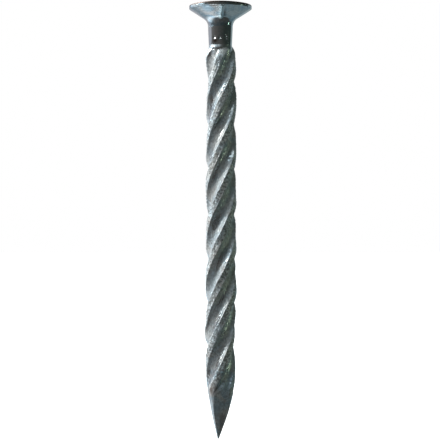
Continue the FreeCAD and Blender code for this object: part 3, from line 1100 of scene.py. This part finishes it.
# What the metal mirrors: at eye level, from above and from below. Each stop is degrees from -Y towards +X,
# then red, green and blue.
EYE_LEVEL = [
    (-180, (0.50, 0.51, 0.55)),
    (-96, (0.48, 0.49, 0.53)),
    (-92, (0.19, 0.185, 0.18)),
    (-50, (0.11, 0.105, 0.10)),
    (0, (0.06, 0.063, 0.06)),
    (40, (0.03, 0.038, 0.034)),
    (118, (0.022, 0.035, 0.033)),
    (124, (0.32, 0.40, 0.41)),
    (180, (0.36, 0.42, 0.43)),
]
ABOVE = [
    (-180, (0.80, 0.84, 0.86)),
    (-150, (1.30, 1.42, 1.46)),
    (-118, (1.80, 2.05, 2.12)),
    (-96, (1.30, 1.42, 1.45)),
    (-76, (0.80, 0.84, 0.83)),
    (-50, (0.42, 0.46, 0.47)),
    (-24, (0.20, 0.225, 0.235)),
    (0, (0.09, 0.10, 0.10)),
    (50, (0.05, 0.065, 0.055)),
    (120, (0.06, 0.075, 0.07)),
    (180, (0.24, 0.27, 0.27)),
]
BELOW = [
    (-180, (0.30, 0.37, 0.40)),
    (-150, (0.33, 0.38, 0.41)),
    (-122, (1.50, 1.54, 1.56)),
    (-92, (1.00, 1.02, 1.02)),
    (-78, (0.30, 0.295, 0.29)),
    (-50, (0.12, 0.115, 0.11)),
    (0, (0.07, 0.07, 0.067)),
    (88, (0.045, 0.05, 0.045)),
    (102, (0.16, 0.21, 0.22)),
    (180, (0.21, 0.27, 0.29)),
]


def bearing_ramp(tree, share, stops):
    """A colour ramp round the spike; share is 0 and 1 at the back and 0.5 at the front."""
    ramp = node(tree, "ValToRGB", Fac=share)
    elements = ramp.color_ramp.elements
    elements[0].position, elements[0].color = 0, opaque(stops[0][1])
    elements[1].position, elements[1].color = 1, opaque(stops[-1][1])
    for degrees, colour in stops[1:-1]:
        elements.new(degrees / 360 + 0.5).color = opaque(colour)
    return ramp.outputs[0]


def make_world(scene):
    """A pale backdrop behind the spike and a darker room in front of it, brighter on the left and above, as
    light; the camera sees white."""
    world = bpy.data.worlds.new("studio")
    world.use_nodes = True
    scene.world = world
    tree = world.node_tree
    tree.nodes.clear()
    out = tree.nodes.new("ShaderNodeOutputWorld")
    direction = node(tree, "TexCoord").outputs["Generated"]
    part = node(tree, "SeparateXYZ", Vector=direction)
    front = maths(tree, "MULTIPLY", part.outputs["Y"], -1.0)
    bearing = maths(tree, "ARCTAN2", part.outputs["X"], front)
    share = maths(tree, "ADD", maths(tree, "DIVIDE", bearing, 2 * math.pi), 0.5)
    upward = ramped(tree, part.outputs["Z"], 0.24, 0.42)
    downward = ramped(tree, part.outputs["Z"], -0.21, -0.38)
    room = mixed(tree, upward, bearing_ramp(tree, share, EYE_LEVEL), bearing_ramp(tree, share, ABOVE))
    room = mixed(tree, downward, room, bearing_ramp(tree, share, BELOW))
    seen = node(tree, "LightPath").outputs["Is Camera Ray"]
    colour = mixed(tree, seen, room, (1.0, 1.0, 1.0, 1))
    background = node(tree, "Background", Color=colour)
    tree.links.new(background.outputs[0], out.inputs["Surface"])


# From the middle of the spike to each light.
LIGHT_DISTANCE = 0.45


def make_area_light(scene, name, bearing, height, width, tall, power, colour):
    """A rectangular soft light that faces the middle of the spike, from a bearing and a height in degrees."""
    low, high = CAD_BOUNDS
    middle = (low + high) / 2
    turn, lift = math.radians(bearing), math.radians(height)
    away = (
        math.sin(turn) * math.cos(lift),
        -math.cos(turn) * math.cos(lift),
        math.sin(lift),
    )
    data = bpy.data.lights.new(name, "AREA")
    data.shape = "RECTANGLE"
    data.size, data.size_y = width, tall
    data.energy = power
    data.color = colour
    lamp = bpy.data.objects.new(name, data)
    lamp.location = [middle[i] + away[i] * LIGHT_DISTANCE for i in range(3)]
    towards = middle - lamp.location
    lamp.rotation_mode = "QUATERNION"
    lamp.rotation_quaternion = towards.to_track_quat("-Z", "Y")
    scene.collection.objects.link(lamp)


def make_lights(scene, stage):
    """A soft warm key light high on the left, a wide cool one behind it, a cool one above the front, and a
    dim one on the right."""
    lights = [
        ("key_light", -88, 31, 0.18, 0.13, stage.key_power, (1.0, 0.96, 0.88)),
        ("left_light", -104, 40, 0.60, 0.42, stage.left_power, (0.86, 0.97, 1.0)),
        ("top_light", -14, 56, 0.14, 0.12, stage.top_power, (0.82, 0.97, 1.0)),
        ("side_light", 82, -5, 0.035, 0.12, stage.side_power, (0.8, 1.0, 0.7)),
    ]
    for light in lights:
        make_area_light(scene, *light)


def make_camera(scene, stage):
    """A camera that looks along +Y at the middle of the spike."""
    low, high = CAD_BOUNDS
    data = bpy.data.cameras.new("camera")
    data.sensor_width = 36.0
    data.lens = data.sensor_width * stage.camera_distance / stage.view_height
    data.clip_start = 0.01
    data.clip_end = 10.0
    camera = bpy.data.objects.new("camera", data)
    across, raised = -0.07 * MM, 0.37 * MM
    camera.location = (across, -stage.camera_distance, (low.z + high.z) / 2 + raised)
    camera.rotation_euler = (math.pi / 2, 0, 0)
    scene.collection.objects.link(camera)
    scene.camera = camera


class SPIKE_PT_panel(bpy.types.Panel):
    """Lists the pieces of the spike"""

    bl_idname = "SPIKE_PT_panel"
    bl_label = "Rail Spike"
    bl_space_type = "VIEW_3D"
    bl_region_type = "UI"
    bl_category = "Rail Spike"

    def draw(self, context):
        for operator in OPERATORS:
            self.layout.operator(operator.bl_idname)
        for name, settings in SETTINGS.items():
            box = self.layout.box()
            box.label(text=settings.__doc__)
            for key in settings.__annotations__:
                box.prop(getattr(context.scene, name), key)


OPERATORS = (SPIKE_OT_head, SPIKE_OT_neck, SPIKE_OT_shank, SPIKE_OT_point, SPIKE_OT_stage)


def register():
    """Registers the settings, the operators and the panel."""
    for name, settings in SETTINGS.items():
        bpy.utils.register_class(settings)
        setattr(bpy.types.Scene, name, PointerProperty(type=settings))
    for cls in (*OPERATORS, SPIKE_PT_panel):
        bpy.utils.register_class(cls)


def unregister():
    """Takes back what register did."""
    for cls in (SPIKE_PT_panel, *reversed(OPERATORS)):
        bpy.utils.unregister_class(cls)
    for name, settings in SETTINGS.items():
        delattr(bpy.types.Scene, name)
        bpy.utils.unregister_class(settings)


def main():
    register()
    bpy.ops.spike.head()
    bpy.ops.spike.neck()
    bpy.ops.spike.shank()
    bpy.ops.spike.point()
    bpy.ops.spike.stage()


if __name__ == "__main__":
    main()
